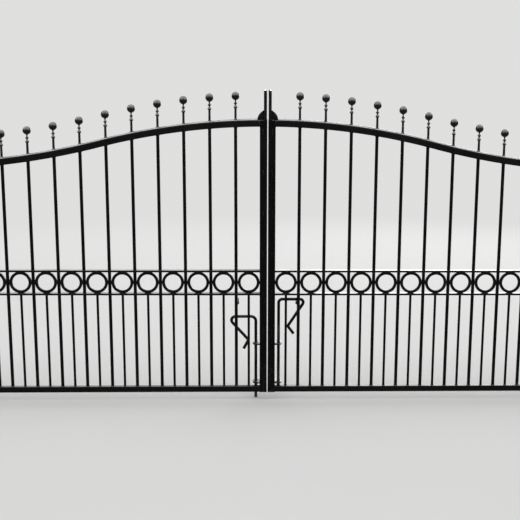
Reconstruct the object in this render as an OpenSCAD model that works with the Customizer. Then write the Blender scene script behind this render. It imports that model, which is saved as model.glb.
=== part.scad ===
// Pair of bell-top driveway gates: two bar leaves hung between two box posts,
// with a ring band, ball finials and one drop bolt on each leaf.
// Millimetres. X runs along the gateway, the street is at -Y and Z is up.
// The origin is at the middle of the left post's foot.

/* [Leaf layout] */
// Full-height bars in one leaf
bar_count = 12; // [8:1:14]
// Clear slot between the two leaves
meeting_gap = 5; // [5:1:15]
// Height of the bottom rail above the ground
ground_clearance = 40; // [25:1:80]
// Height of the top rail's centre line where the leaves meet
crown_height = 1461; // [1300:1:1700]
// Fall of the top rail from the meeting stile to the hanging stile
crown_fall = 225; // [120:1:260]
// Distance from the middle of the gateway to where the top rail's two arcs meet
bell_turn = 859; // [760:1:980]
// Height of the ring band's middle
band_height = 634; // [600:1:750]

/* [Sections] */
// Width and depth of the box stiles
stile_w = 38; // [30:1:50]
// Depth of the ring band's flat rails
flat_depth = 38; // [30:1:50]
// Thickness of the ring band's flat rails
flat_t = 8; // [5:1:12]
// Width and depth of the curved top rail
top_rail_w = 32; // [24:1:40]
// Width and depth of the bottom rail
bottom_rail_w = 25; // [20:1:30]
// Wall of the box sections
box_wall = 3; // [2:0.5:5]
// Diameter of the full-height round bars
bar_w = 17; // [12:1:20]
// Diameter of the short round bars
dog_bar_w = 13; // [8:1:16]
// Outside diameter of the rings
ring_od = 112; // [90:1:120]
// Clearance between a ring and the bars beside it
ring_side_gap = 1.5; // [1:0.5:8]
// Radial width of a ring's bar
ring_wall = 14; // [8:1:16]
// Depth of a ring's bar
ring_depth = 12; // [8:1:20]

/* [Finials] */
// Diameter of the balls
ball_d = 42; // [30:1:60]
// Height of a ball's centre above the top rail's centre line
ball_rise = 141; // [110:1:180]
// Length of the neck under a ball
neck_h = 11; // [6:1:16]
// Height of the bead under the neck
bead_h = 10; // [6:1:14]
// Height of the groove and of the ring under the bead
groove_h = 6; // [3:1:8]
// Diameter of the finial's stem
stem_d = 13; // [10:0.5:16]

/* [Meeting edge] */
// Width of the front cover strip on each leaf
strip_w = 20; // [12:1:30]
// Thickness of the front cover strip
strip_t = 8; // [5:1:12]
// Radius of the quarter-round shoulder above the meeting stile
shoulder_r = 54; // [42:1:60]
// Height of the twin uprights above the meeting stile
upright_rise = 140; // [100:1:180]
// Diameter of the knob on an upright
knob_d = 18; // [12:1:18]
// Side of the twin uprights
upright_w = 16; // [12:1:20]

/* [Drop bolts] */
// Diameter of the bolt's round bar
bolt_d = 16; // [10:1:18]
// Lift of a bolt from its lowered to its raised place
bolt_lift = 94; // [60:1:110]
// Depth of a lowered bolt below the ground
bolt_bury = 35; // [20:1:50]
// Depth of the raised handle's arm below the ring band
arm_under_band = 30; // [20:1:80]
// Reach of the handle's outer corner from the bolt's axis
arm_reach = 145; // [120:1:160]
// Height of the upper guide above the ground
guide_upper = 291; // [240:1:320]
// Height of the lower guide above the ground
guide_lower = 78; // [72:1:120]
// Thickness of a guide plate
guide_t = 6; // [4:1:10]
// Height of the hook that parks a handle
hook_h = 34; // [24:1:44]

/* [Hinges] */
// Diameter of a hinge pin
pin_d = 16; // [12:1:20]
// Height of a hinge eye
eye_h = 40; // [30:1:60]
// Height of the lower hinge eye's middle
hinge_lower = 200; // [150:1:300]
// Height of the upper hinge eye's middle
hinge_upper = 1090; // [900:1:1150]

/* [Posts] */
// Side of the square posts
post_w = 100; // [80:5:150]
// Wall of the posts
post_wall = 4; // [3:0.5:8]
// Height of the posts under their caps
post_height = 1350; // [1300:10:1600]
// Rise of the pyramid on a post's cap
cap_rise = 24; // [10:1:60]
// Gap between a leaf and its post
post_gap = 52; // [48:1:70]
// Side of a base plate
foot_w = 200; // [180:5:260]
// Thickness of a base plate
foot_t = 12; // [8:1:20]
// Diameter of the anchor holes in a base plate
anchor_d = 14; // [10:1:18]

/* [Hidden] */
$fn = 48;
arc_fn = 720;
cut = 1;
weld_gap = 0.3;
punch_gap = 0.3;
run_gap = 0.05;
seat_gap = 0.3;

// Places along the gateway, from the middle of the slot outwards
stile_in = meeting_gap / 2;
stile_out = stile_in + stile_w;
bay_clear = ring_od + 2 * ring_side_gap;
bar_pitch = bay_clear + bar_w;
first_bar = stile_out + bay_clear + bar_w / 2;
hang_in = first_bar + (bar_count - 1) * bar_pitch + bar_w / 2 + bay_clear;
hang_out = hang_in + stile_w;
post_face = hang_out + post_gap;
gate_mid = post_face + post_w / 2;
first_bay = stile_out + bay_clear / 2;

// Heights of the rails
bottom_top = ground_clearance + bottom_rail_w;
band_clear = ring_od + 2 * weld_gap;
low_flat = band_height - band_clear / 2 - flat_t;
high_flat = band_height + band_clear / 2;

// The top rail is two arcs that share one tangent where they meet
near_fall = crown_fall * bell_turn / hang_out;
far_fall = crown_fall - near_fall;
far_run = hang_out - bell_turn;
near_r = (bell_turn * bell_turn + near_fall * near_fall) / (2 * near_fall);
far_r = (far_run * far_run + far_fall * far_fall) / (2 * far_fall);
hang_rail_z = crown_height - crown_fall;
stile_top = crown_height + top_rail_w / 2;
hang_top = hang_rail_z + top_rail_w / 2;

// Drop bolts stand behind the leaf, clear of its bars
bolt_r = bolt_d / 2;
bolt_off = 20;
bolt_x = stile_out + bolt_off;
bolt_y = stile_w / 2 + bolt_r;
corner_r = 15;
loop_r = 12;
knee_r = 10;
bend_thin = 0.3;
bend_lap = 1;
knee_x = 43;
arm_height = low_flat - arm_under_band - bolt_lift;
knee_drop = 130;
kick_x = 69;
kick_drop = 178;
guide_wall = 9;
guide_r = bolt_r + guide_wall;
guide_deep = 26;
hook_w = 10;
hook_t = 8;
hook_drop = 22;
knob_seat = 5;

// Hinges turn about a pin between the leaf and its post
eye_wall = 7;
eye_r = pin_d / 2 + eye_wall;
pin_off = 18;
pin_x = hang_out + pin_off;
lug_t = 12;
pin_over = 12;
plate_t = 6;
plate_h = 90;
plate_w = 60;
anchor_inset = 25;

function top_z(x) = x < bell_turn
    ? crown_height - near_r + sqrt(near_r * near_r - x * x)
    : hang_rail_z + far_r - sqrt(far_r * far_r - pow(hang_out - x, 2));
function top_tilt(x) = asin(x < bell_turn ? x / near_r : (hang_out - x) / far_r);
function bar_x(i) = first_bar + i * bar_pitch;
function bay_x(i) = first_bay + i * bar_pitch;

// Shared forms, drawn for the right leaf and mirrored for the left one
module in_gate(side) {
    translate([gate_mid, 0, 0])
        mirror([side < 0 ? 1 : 0, 0, 0])
            children();
}

module upright_box(x0, x1, depth, z0, z1) {
    translate([x0, -depth / 2, z0])
        cube([x1 - x0, depth, z1 - z0]);
}

module box_tube(x0, x1, depth, z0, z1, wall) {
    difference() {
        upright_box(x0, x1, depth, z0, z1);
        upright_box(x0 + wall, x1 - wall, depth - 2 * wall, z0 - cut, z1 - wall);
    }
}

module meeting_stile() {
    box_tube(stile_in, stile_out, stile_w, ground_clearance, stile_top, box_wall);
}

module hanging_stile() {
    box_tube(hang_in, hang_out, stile_w, ground_clearance, hang_top, box_wall);
}

module arc_band(width, depth, x0, x1) {
    intersection() {
        translate([0, 0, crown_height - near_r])
            rotate([90, 0, 0])
                difference() {
                    cylinder(h = depth, r = near_r + width / 2, center = true, $fn = arc_fn);
                    cylinder(h = depth + cut, r = near_r - width / 2, center = true, $fn = arc_fn);
                }
        upright_box(x0, bell_turn, depth + cut, hang_rail_z - width, stile_top + width);
    }
    intersection() {
        translate([hang_out, 0, hang_rail_z + far_r])
            rotate([90, 0, 0])
                difference() {
                    cylinder(h = depth, r = far_r + width / 2, center = true, $fn = arc_fn);
                    cylinder(h = depth + cut, r = far_r - width / 2, center = true, $fn = arc_fn);
                }
        upright_box(bell_turn, x1, depth + cut, hang_rail_z - width, stile_top + width);
    }
}

module top_rail() {
    inner = top_rail_w - 2 * box_wall;
    difference() {
        arc_band(top_rail_w, top_rail_w, stile_out, hang_in);
        arc_band(inner, inner, stile_out - cut, hang_in + cut);
    }
}

module flat_rail(z) {
    difference() {
        upright_box(stile_out, hang_in, flat_depth, z, z + flat_t);
        for (i = [0 : bar_count - 1])
            translate([bar_x(i), 0, z - cut])
                cylinder(h = flat_t + 2 * cut, d = bar_w + 2 * punch_gap);
    }
}

module bottom_rail() {
    upright_box(stile_out, hang_in, bottom_rail_w, ground_clearance, bottom_top);
}

module full_bars() {
    for (i = [0 : bar_count - 1]) {
        x = bar_x(i);
        difference() {
            translate([x, 0, bottom_top])
                cylinder(h = top_z(x) - bottom_top, d = bar_w);
            translate([x, 0, top_z(x)])
                rotate([0, top_tilt(x), 0])
                    translate([-2 * bar_w, -bar_w, -top_rail_w / 2 - weld_gap])
                        cube([4 * bar_w, 2 * bar_w, 2 * top_rail_w]);
        }
    }
}

module dog_bars() {
    for (i = [0 : bar_count])
        translate([bay_x(i), 0, bottom_top])
            cylinder(h = low_flat - bottom_top, d = dog_bar_w);
}

module rings() {
    for (i = [0 : bar_count])
        translate([bay_x(i), 0, band_height])
            rotate([90, 0, 0])
                difference() {
                    cylinder(h = ring_depth, d = ring_od, center = true, $fn = 96);
                    cylinder(h = ring_depth + cut, d = ring_od - 2 * ring_wall, center = true, $fn = 96);
                }
}

module finial_body() {
    neck_r = stem_d * 0.27;
    collar_r = stem_d * 0.6;
    under_ball = ball_rise - ball_d / 2;
    under_neck = under_ball - neck_h;
    under_bead = under_neck - bead_h;
    under_groove = under_bead - groove_h;
    translate([0, 0, ball_rise])
        sphere(d = ball_d);
    translate([0, 0, under_neck - cut])
        cylinder(h = neck_h + 3 * cut, r = neck_r);
    translate([0, 0, under_bead])
        cylinder(h = bead_h, r = collar_r);
    translate([0, 0, under_groove - cut])
        cylinder(h = groove_h + 2 * cut, r = neck_r);
    translate([0, 0, under_groove - groove_h])
        cylinder(h = groove_h, r = collar_r);
    cylinder(h = under_groove - groove_h + cut, r = stem_d / 2);
}

module finials() {
    for (i = [0 : bar_count - 1]) {
        x = bar_x(i);
        difference() {
            translate([x, 0, top_z(x)])
                finial_body();
            translate([x, 0, top_z(x)])
                rotate([0, top_tilt(x), 0])
                    translate([-stem_d, -stem_d, -2 * stem_d])
                        cube([2 * stem_d, 2 * stem_d, 2 * stem_d + top_rail_w / 2 + weld_gap]);
        }
    }
}

module cover_strip() {
    translate([stile_in, -stile_w / 2 - strip_t, ground_clearance])
        cube([strip_w, strip_t, stile_top + 5 - ground_clearance]);
}

module twin_upright() {
    x0 = stile_in + 1.5;
    square_top = stile_top + upright_rise;
    upright_box(x0, x0 + upright_w, upright_w, stile_top, square_top);
    translate([x0 + upright_w / 2, 0, square_top + knob_seat])
        sphere(d = knob_d);
}

module shoulder() {
    x0 = stile_in + 1.5 + upright_w;
    intersection() {
        translate([0, 0, stile_top])
            rotate([90, 0, 0])
                cylinder(h = upright_w, r = shoulder_r, center = true, $fn = 96);
        upright_box(x0, shoulder_r + cut, upright_w + cut, stile_top, stile_top + shoulder_r + cut);
    }
}

module bolt_guide(z) {
    difference() {
        union() {
            translate([bolt_x, bolt_y, z])
                cylinder(h = guide_t, r = guide_r);
            translate([stile_out, bolt_y - guide_deep, z])
                cube([bolt_x - stile_out, guide_deep + guide_r / 2, guide_t]);
        }
        translate([bolt_x, bolt_y, z - cut])
            cylinder(h = guide_t + 2 * cut, r = bolt_r + 2 * run_gap);
    }
}

module handle_hook() {
    x0 = first_bar - bar_w / 2 - hook_w;
    y1 = bolt_y - bolt_r - 6;
    seat = arm_height + bolt_lift - hook_drop;
    difference() {
        translate([x0, -6, seat])
            cube([first_bar - x0, y1 + 6, hook_w]);
        translate([first_bar, 0, seat - cut])
            cylinder(h = hook_w + 2 * cut, r = bar_w / 2 + weld_gap);
    }
    translate([x0, y1 - hook_t, seat])
        cube([hook_w, hook_t, hook_h]);
}

// A round bar through corner points in the X-Z plane, each corner bent to a radius,
// where the bar is a little thinner and the straight legs lap its ends
function unit(v) = v / norm(v);
function bend_sweep(u, w) = acos(u * w);
function bend_side(u, w) = u[0] * w[1] - u[1] * w[0] > 0 ? 1 : -1;

module bar_leg(a, b, lap_a, lap_b) {
    d = b - a;
    start = a - lap_a * unit(d);
    translate([start[0], 0, start[1]])
        rotate([0, atan2(d[0], d[1]), 0])
            cylinder(h = norm(d) + lap_a + lap_b, r = bolt_r);
}

module bar_bend(corner, u, w, radius) {
    sweep = bend_sweep(u, w);
    side = bend_side(u, w);
    inward = side * [-u[1], u[0]];
    centre = corner - radius * tan(sweep / 2) * u + radius * inward;
    start = atan2(-inward[1], -inward[0]);
    translate([centre[0], 0, centre[1]])
        rotate([90, 0, 0])
            rotate([0, 0, side > 0 ? start : start - sweep])
                rotate_extrude(angle = sweep)
                    translate([radius, 0])
                        circle(r = bolt_r - bend_thin, $fn = 32);
}

module bent_bar(points, radii) {
    last = len(points) - 1;
    heads = [for (i = [0 : last - 1]) unit(points[i + 1] - points[i])];
    trims = [for (i = [0 : last])
        i == 0 || i == last ? 0 : radii[i] * tan(bend_sweep(heads[i - 1], heads[i]) / 2)];
    for (i = [0 : last - 1])
        bar_leg(points[i] + trims[i] * heads[i], points[i + 1] - trims[i + 1] * heads[i],
            i == 0 ? 0 : bend_lap, i == last - 1 ? 0 : bend_lap);
    for (i = [1 : last - 1])
        bar_bend(points[i], heads[i - 1], heads[i], radii[i]);
}

module drop_bolt(lift) {
    foot = [0, -bolt_bury];
    head = [0, arm_height];
    outer = [arm_reach, arm_height];
    knee = [knee_x, arm_height - knee_drop];
    kick = [kick_x, arm_height - kick_drop];
    translate([bolt_x, bolt_y, lift])
        bent_bar([foot, head, outer, knee, kick], [0, corner_r, loop_r, knee_r, 0]);
}

module hinge_eye(z) {
    difference() {
        union() {
            translate([pin_x, 0, z - eye_h / 2])
                cylinder(h = eye_h, r = eye_r);
            upright_box(hang_out, pin_x, eye_r, z - eye_h / 2, z + eye_h / 2);
        }
        translate([pin_x, 0, z - eye_h / 2 - cut])
            cylinder(h = eye_h + 2 * cut, r = pin_d / 2 + run_gap);
    }
}

module hinge_bracket(z) {
    seat = z - eye_h / 2 - seat_gap;
    translate([post_face - plate_t, -plate_w / 2, seat - lug_t / 2 - plate_h / 2])
        cube([plate_t, plate_w, plate_h]);
    upright_box(pin_x, post_face - plate_t, eye_r * 1.4, seat - lug_t, seat);
    translate([pin_x, 0, seat - lug_t])
        cylinder(h = lug_t, r = eye_r);
    translate([pin_x, 0, seat - lug_t])
        cylinder(h = lug_t + eye_h + pin_over, r = pin_d / 2);
}

module post_tube() {
    difference() {
        upright_box(post_face, post_face + post_w, post_w, foot_t, post_height);
        upright_box(post_face + post_wall, post_face + post_w - post_wall,
            post_w - 2 * post_wall, foot_t - cut, post_height + cut);
    }
}

module post_cap() {
    over = 6;
    skirt = 8;
    upright_box(post_face - over, post_face + post_w + over,
        post_w + 2 * over, post_height, post_height + skirt);
    translate([post_face + post_w / 2, 0, post_height + skirt])
        linear_extrude(height = cap_rise, scale = 0.08)
            square(post_w + 2 * over, center = true);
}

module base_plate() {
    mid = post_face + post_w / 2;
    reach = foot_w / 2 - anchor_inset;
    difference() {
        upright_box(mid - foot_w / 2, mid + foot_w / 2, foot_w, 0, foot_t);
        for (sx = [-1, 1], sy = [-1, 1])
            translate([mid + sx * reach, sy * reach, -cut])
                cylinder(h = foot_t + 2 * cut, d = anchor_d);
    }
}

paint = "#17171a";

module left_post() { color(paint) in_gate(-1) post_tube(); }
module right_post() { color(paint) in_gate(1) post_tube(); }
module left_post_cap() { color(paint) in_gate(-1) post_cap(); }
module right_post_cap() { color(paint) in_gate(1) post_cap(); }
module left_base_plate() { color(paint) in_gate(-1) base_plate(); }
module right_base_plate() { color(paint) in_gate(1) base_plate(); }
module left_hinge_brackets() {
    color(paint) in_gate(-1) {
        hinge_bracket(hinge_lower);
        hinge_bracket(hinge_upper);
    }
}
module right_hinge_brackets() {
    color(paint) in_gate(1) {
        hinge_bracket(hinge_lower);
        hinge_bracket(hinge_upper);
    }
}
module left_hanging_stile() { color(paint) in_gate(-1) hanging_stile(); }
module left_meeting_stile() { color(paint) in_gate(-1) meeting_stile(); }
module left_top_rail() { color(paint) in_gate(-1) top_rail(); }
module left_band_rails() {
    color(paint) in_gate(-1) {
        flat_rail(low_flat);
        flat_rail(high_flat);
    }
}
module left_bottom_rail() { color(paint) in_gate(-1) bottom_rail(); }
module left_full_bars() { color(paint) in_gate(-1) full_bars(); }
module left_dog_bars() { color(paint) in_gate(-1) dog_bars(); }
module left_rings() { color(paint) in_gate(-1) rings(); }
module left_finials() { color(paint) in_gate(-1) finials(); }
module left_cover_strip() { color(paint) in_gate(-1) cover_strip(); }
module left_upright() { color(paint) in_gate(-1) twin_upright(); }
module left_shoulder() { color(paint) in_gate(-1) shoulder(); }
module left_bolt_guides() {
    color(paint) in_gate(-1) {
        bolt_guide(guide_lower);
        bolt_guide(guide_upper);
    }
}
module left_handle_hook() { color(paint) in_gate(-1) handle_hook(); }
module left_hinge_eyes() {
    color(paint) in_gate(-1) {
        hinge_eye(hinge_lower);
        hinge_eye(hinge_upper);
    }
}
module left_drop_bolt() { color(paint) in_gate(-1) drop_bolt(0); }
module right_hanging_stile() { color(paint) in_gate(1) hanging_stile(); }
module right_meeting_stile() { color(paint) in_gate(1) meeting_stile(); }
module right_top_rail() { color(paint) in_gate(1) top_rail(); }
module right_band_rails() {
    color(paint) in_gate(1) {
        flat_rail(low_flat);
        flat_rail(high_flat);
    }
}
module right_bottom_rail() { color(paint) in_gate(1) bottom_rail(); }
module right_full_bars() { color(paint) in_gate(1) full_bars(); }
module right_dog_bars() { color(paint) in_gate(1) dog_bars(); }
module right_rings() { color(paint) in_gate(1) rings(); }
module right_finials() { color(paint) in_gate(1) finials(); }
module right_cover_strip() { color(paint) in_gate(1) cover_strip(); }
module right_upright() { color(paint) in_gate(1) twin_upright(); }
module right_shoulder() { color(paint) in_gate(1) shoulder(); }
module right_bolt_guides() {
    color(paint) in_gate(1) {
        bolt_guide(guide_lower);
        bolt_guide(guide_upper);
    }
}
module right_handle_hook() { color(paint) in_gate(1) handle_hook(); }
module right_hinge_eyes() {
    color(paint) in_gate(1) {
        hinge_eye(hinge_lower);
        hinge_eye(hinge_upper);
    }
}
module right_drop_bolt() { color(paint) in_gate(1) drop_bolt(bolt_lift); }

left_post();
left_post_cap();
left_base_plate();
left_hinge_brackets();
right_post();
right_post_cap();
right_base_plate();
right_hinge_brackets();
left_hanging_stile();
left_meeting_stile();
left_top_rail();
left_band_rails();
left_bottom_rail();
left_full_bars();
left_dog_bars();
left_rings();
left_finials();
left_cover_strip();
left_upright();
left_shoulder();
left_bolt_guides();
left_handle_hook();
left_hinge_eyes();
left_drop_bolt();
right_hanging_stile();
right_meeting_stile();
right_top_rail();
right_band_rails();
right_bottom_rail();
right_full_bars();
right_dog_bars();
right_rings();
right_finials();
right_cover_strip();
right_upright();
right_shoulder();
right_bolt_guides();
right_handle_hook();
right_hinge_eyes();
right_drop_bolt();
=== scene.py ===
import bpy
import numpy as np
from mathutils import Matrix


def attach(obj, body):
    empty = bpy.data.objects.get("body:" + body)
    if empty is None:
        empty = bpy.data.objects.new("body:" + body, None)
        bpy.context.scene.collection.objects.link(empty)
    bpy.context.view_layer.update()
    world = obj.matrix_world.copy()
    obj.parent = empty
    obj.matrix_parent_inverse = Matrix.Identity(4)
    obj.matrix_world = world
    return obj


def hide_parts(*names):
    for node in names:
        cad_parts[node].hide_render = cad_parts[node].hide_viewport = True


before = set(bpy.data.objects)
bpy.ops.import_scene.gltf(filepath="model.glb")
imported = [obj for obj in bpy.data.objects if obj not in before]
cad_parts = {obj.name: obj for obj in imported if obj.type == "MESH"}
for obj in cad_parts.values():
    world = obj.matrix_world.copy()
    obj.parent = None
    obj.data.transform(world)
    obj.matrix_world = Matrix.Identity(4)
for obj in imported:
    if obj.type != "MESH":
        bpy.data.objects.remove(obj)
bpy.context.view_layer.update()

# Sizes are in millimetres. Shapes are drawn for the right leaf and its post, with x counted from
# the middle of the gateway, y towards the house and z up from the ground. The left side is their
# mirror.
MM_PER_M = 1000
GATE_MID = 1879.5
GROUND_CLEARANCE = 40.0
X, Y, Z = np.eye(3)

# The stile beside the gateway's middle and the one hung on the post
STILE_W, STILE_IN, STILE_OUT, STILE_TOP = 38.0, 2.5, 40.5, 1477.0
HANG_IN, HANG_OUT, HANG_TOP = 1739.5, 1777.5, 1252.0

# The top rail falls from its crown and turns over at BELL_TURN. A convex strip caps it.
CROWN, CROWN_FALL, BELL_TURN = 1461.0, 225.0, 859.0
NEAR_FALL = CROWN_FALL * BELL_TURN / HANG_OUT
FAR_FALL, FAR_RUN = CROWN_FALL - NEAR_FALL, HANG_OUT - BELL_TURN
NEAR_R = (BELL_TURN**2 + NEAR_FALL**2) / (2 * NEAR_FALL)
FAR_R = (FAR_RUN**2 + FAR_FALL**2) / (2 * FAR_FALL)
RAIL_W, CAPPING_W, CAPPING_H, CAPPING_FOOT = 32.0, 35.0, 8.5, 1.0
BELL_STEPS = 97

# The bottom rail, and the ring band between two flat rails
BOTTOM_W, BOTTOM_TOP = 25.0, 71.0
BAND_Z, LOW_FLAT, HIGH_FLAT, FLAT_T, FLAT_DEPTH = 636.0, 569.7, 692.3, 10.0, 38.0
LEVEL_ENDS = STILE_OUT - 1, HANG_IN + 1
RING_R, RING_WALL, RING_DEPTH = 49.6, 15.2, 12.0

# Full-height bars stand at BAR_X, short bars and rings at BAY_X. Bars run some way into rails.
BAR_W, DOG_W, PITCH = 17.0, 13.0, 132.0
BAR_X = 164.0 + PITCH * np.arange(12)
BAY_X = 98.0 + PITCH * np.arange(13)
INTO_BOTTOM, INTO_FLAT, INTO_TOP = 4, 3, 8

# Finials: radius and height over the top rail's centre line, from the foot up
FINIAL_STEM = [
    (6.5, 14), (6.4, 40), (6.2, 70), (6.2, 77.5), (6.6, 79.6), (8.8, 81.2), (10.2, 82.6),
    (10.6, 84.0), (10.3, 85.6), (8.9, 88.6), (6.9, 91.8), (5.1, 94.6), (4.2, 96.6),
]
BEAD_ROOT, BEAD_BULGE, BEAD_RISE, BEAD_HALF = 3.7, 5.2, 104.5, 4.8
FINIAL_NECK = [(3.8, 110.6), (3.5, 113), (3.6, 116.6), (4.6, 119.6)]
BALL_R, BALL_RISE = 21.0, 141.0

# The front strip, and the upright with its knob and shoulder over the meeting stile
STRIP_W, STRIP_T, STRIP_RISE = 20.0, 8.0, 5.0
UPRIGHT_IN, UPRIGHT_W, UPRIGHT_TOP, KNOB_R, KNOB_SEAT = 4.0, 16.0, 1617.0, 9.0, 5.0
UPRIGHT_OUT = UPRIGHT_IN + UPRIGHT_W
SHOULDER_R, SHOULDER_EDGE = 54.0, 4.5

# Drop bolts. Each handle was bent by hand: the radius over the stem, the reach, the loop's
# radius, then the knee and the tail's end as (out from the stem, down from the arm).
BOLT_R, BOLT_X, BOLT_Y, BOLT_LIFT, BOLT_BURY, BOLT_TIP = 8.0, 60.5, 27.0, 94.0, 35.0, 3.0
ARM_Z, KNEE_R = 445.7, 10
LOWERED_BEND = (25.0, 154.0, 20.0, (39.0, 128.0), (65.0, 176.0))
RAISED_BEND = (20.0, 145.0, 17.0, (49.0, 147.0), (80.0, 188.0))
GUIDES, GUIDE_T, GUIDE_OUT, GUIDE_DEEP = (84.0, 297.0), 8.0, 17.0, 33.0
# GUIDE_SHINE is how strongly bare steel is painted over the guides' tops as a highlight; BOLT_SHINE
# is the real wear on the bolt's stem.
GUIDE_POWER, GUIDE_PLAY, GUIDE_SHINE, BOLT_SHINE = 2.2, 0.4, 1.2, 0.1
HOOK_W, HOOK_T, HOOK_EDGE, HOOK_BEND, HOOK_OFF = 8.6, 8, 3.2, 7.0, 3.0
HOOK_FROM, HOOK_TO, HOOK_RISE, HOOK_DROP = -5.0, 9.0, 29, 17
HOOK_START, HOOK_THINNED = 0.8, 2.4

# Hinges, each at its eye's middle, and the posts
HINGES, EYE_H, EYE_R, EYE_GAP, EYE_EDGE = (200.0, 1090.0), 40.0, 15.0, 0.3, 1.2
PIN_R, PIN_X, PIN_PLAY, PIN_OVER = 8.0, 1795.5, 0.35, 12
LUG_T, LUG_DEPTH, PLATE_T, PLATE_DEPTH, PLATE_H = 12, EYE_R * 1.4, 6, 60, 90
POST_IN, POST_W, POST_TOP = 1829.5, 100.0, 1350.0
POST_MID = POST_IN + POST_W / 2
FOOT_W, FOOT_T, ANCHOR_REACH = 200.0, 12.0, 75.0
CAP_W, CAP_SKIRT, CAP_PEAK = POST_W + 12, 8.0, 32.0

# Radii of the arrises, the nose of a piece that ends inside another, and points round a circle
STILE_EDGE, RAIL_EDGE, BOTTOM_EDGE, FLAT_EDGE, RING_EDGE = 3.2, 2.4, 1.4, 0.7, 2.0
STRIP_EDGE, UPRIGHT_EDGE, GUIDE_EDGE, LUG_EDGE, PLATE_EDGE = 1.2, 1.6, 1.0, 1.2, 6.0
BLOCK_EDGE, POST_EDGE, FOOT_EDGE = 1.6, 5.0, 10.0
STILE_NOSE, ROD_NOSE, LEVEL_NOSE, POST_NOSE = 1.2, 1.0, 0.4, 0.3
RING_SIDES, EYE_SIDES, PIN_SIDES, WASHER_SIDES, FINIAL_SIDES = 72, 48, 40, 36, 30
KNOB_SIDES, ROD_SIDES, BOLT_SIDES, STUD_SIDES, GUIDE_SIDES = 28, 26, 22, 20, 84

# Weld metal: the beads' radii and ripple lengths, and the tacks' half sizes
BAR_WELD, FLAT_WELD, DOG_FLAT_WELD, RAIL_WELD, FINIAL_WELD = 2.2, 1.9, 1.8, 2.4, 2.4
BAR_RIPPLE, FINE_RIPPLE, RUN_RIPPLE, POST_RIPPLE = 4.2, 3.6, 4.0, 5.0
RING_TACK, SIDE_TACK = (9.0, 6.6, 1.9), (2.8, 4.6, 9.0)
BELOW, STEM_W, WELD_INSET = 0.2, 13.2, 0.8


def top_z(x):
    """Height of the top rail's centre line: an arc that falls from the crown as far as the turn,
    then one turned over, which goes on in the same direction and levels out at the hanging
    stile."""
    near = CROWN - NEAR_R + np.sqrt(NEAR_R**2 - np.minimum(x, BELL_TURN) ** 2)
    rest = HANG_OUT - np.maximum(x, BELL_TURN)
    far = CROWN - CROWN_FALL + FAR_R - np.sqrt(FAR_R**2 - rest**2)
    return np.where(x < BELL_TURN, near, far)


def top_slope(x):
    """Rise of the top rail for each step along x, always negative: the tangent of the angle whose
    sine is the distance from the nearer arc's middle over its radius."""
    s = np.where(x < BELL_TURN, x / NEAR_R, (HANG_OUT - x) / FAR_R)
    return -s / np.sqrt(1 - s**2)


def unit(v):
    """Vectors over their own lengths."""
    v = np.asarray(v, float)
    return v / np.linalg.norm(v, axis=-1, keepdims=True)


def spread(flat, across, rise):
    """Flat points set in space: across times the first number plus rise times the second."""
    return flat[..., :1] * across + flat[..., 1:] * rise


def closed(count, squareness=0.0):
    """Flat closed outline of count points: cosine and sine of equal turns, over the larger of the
    two to the squareness, which is 0 for a circle and near 1 for a square."""
    a = np.linspace(0, 2 * np.pi, count, endpoint=False)
    flat = np.stack([np.cos(a), np.sin(a)], -1)
    return flat / np.abs(flat).max(-1, keepdims=True) ** squareness


QUARTER = np.radians([0, 30, 60, 90])
ARRIS = np.tile([0, 1, 1, 1, 1, 0], 4).astype(float)


def outline(width, depth, radius):
    """Rounded rectangle: a quarter circle at each corner, and one more point on each flat just
    past the quarter's ends. ARRIS says which of its points lie on a corner."""
    least_flat, least_radius, lead_share, longest_lead = 0.2, 0.05, 0.35, 7.0
    radius = max(min(radius, width / 2 - least_flat, depth / 2 - least_flat), least_radius)
    half = np.array([width / 2 - radius, depth / 2 - radius])
    lead = lead_share * min(half[0], half[1], longest_lead)
    corner = np.array([[1, 1], [-1, 1], [-1, -1], [1, -1]]) * half
    turn = np.radians(90 * np.arange(4))[:, None] + QUARTER
    arc = corner[:, None] + radius * np.stack([np.cos(turn), np.sin(turn)], -1)
    ahead = np.stack([-np.sin(turn), np.cos(turn)], -1)
    before, after = arc[:, :1] - lead * ahead[:, :1], arc[:, -1:] + lead * ahead[:, -1:]
    return np.concatenate([before, arc, after], 1).reshape(-1, 2)


# A solid is (points, four-sided faces, three-sided faces, worn), where worn is 1 on an arris and 0
# on a flat.


def carried(path, across, rise, sections, worn=0.0, loop=False):
    """Grid of points: each station of the path adds its own section, spread over across and rise.
    Neighbours make four-sided faces. The two ends close with a fan, or meet in a loop."""
    grid = path[:, None] + spread(sections, across[..., None, :], rise[..., None, :])
    m, n = grid.shape[:2]
    worn = np.broadcast_to(worn, (m, n)).reshape(-1)
    i = np.arange(m if loop else m - 1)[:, None]
    j = np.arange(n)
    r = (j + 1) % n
    k = (i + 1) % m
    corners = np.broadcast_arrays(i * n + j, i * n + r, k * n + r, k * n + j)
    quads = np.stack(corners, -1).reshape(-1, 4)
    points = grid.reshape(-1, 3)
    if loop:
        return points, quads, np.zeros((0, 3), int), worn
    last = (m - 1) * n
    first_fan = np.stack([np.full(n, m * n), r, j], -1)
    last_fan = np.stack([np.full(n, m * n + 1), last + j, last + r], -1)
    points = np.concatenate([points, grid[:1].mean(1), grid[-1:].mean(1)])
    return points, quads, np.concatenate([first_fan, last_fan]), np.append(worn, [0.0, 0.0])


def joined(solids):
    """One solid from many: each one's faces count on from the points before it."""
    start = np.cumsum([0] + [len(s[0]) for s in solids])
    return (
        np.concatenate([s[0] for s in solids]),
        np.concatenate([s[1] + o for s, o in zip(solids, start)]),
        np.concatenate([s[2] + o for s, o in zip(solids, start)]),
        np.concatenate([s[3] for s in solids]),
    )


def moved(solid, offset):
    """The solid with the offset added to its points."""
    return (solid[0] + np.asarray(offset, float), *solid[1:])


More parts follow.
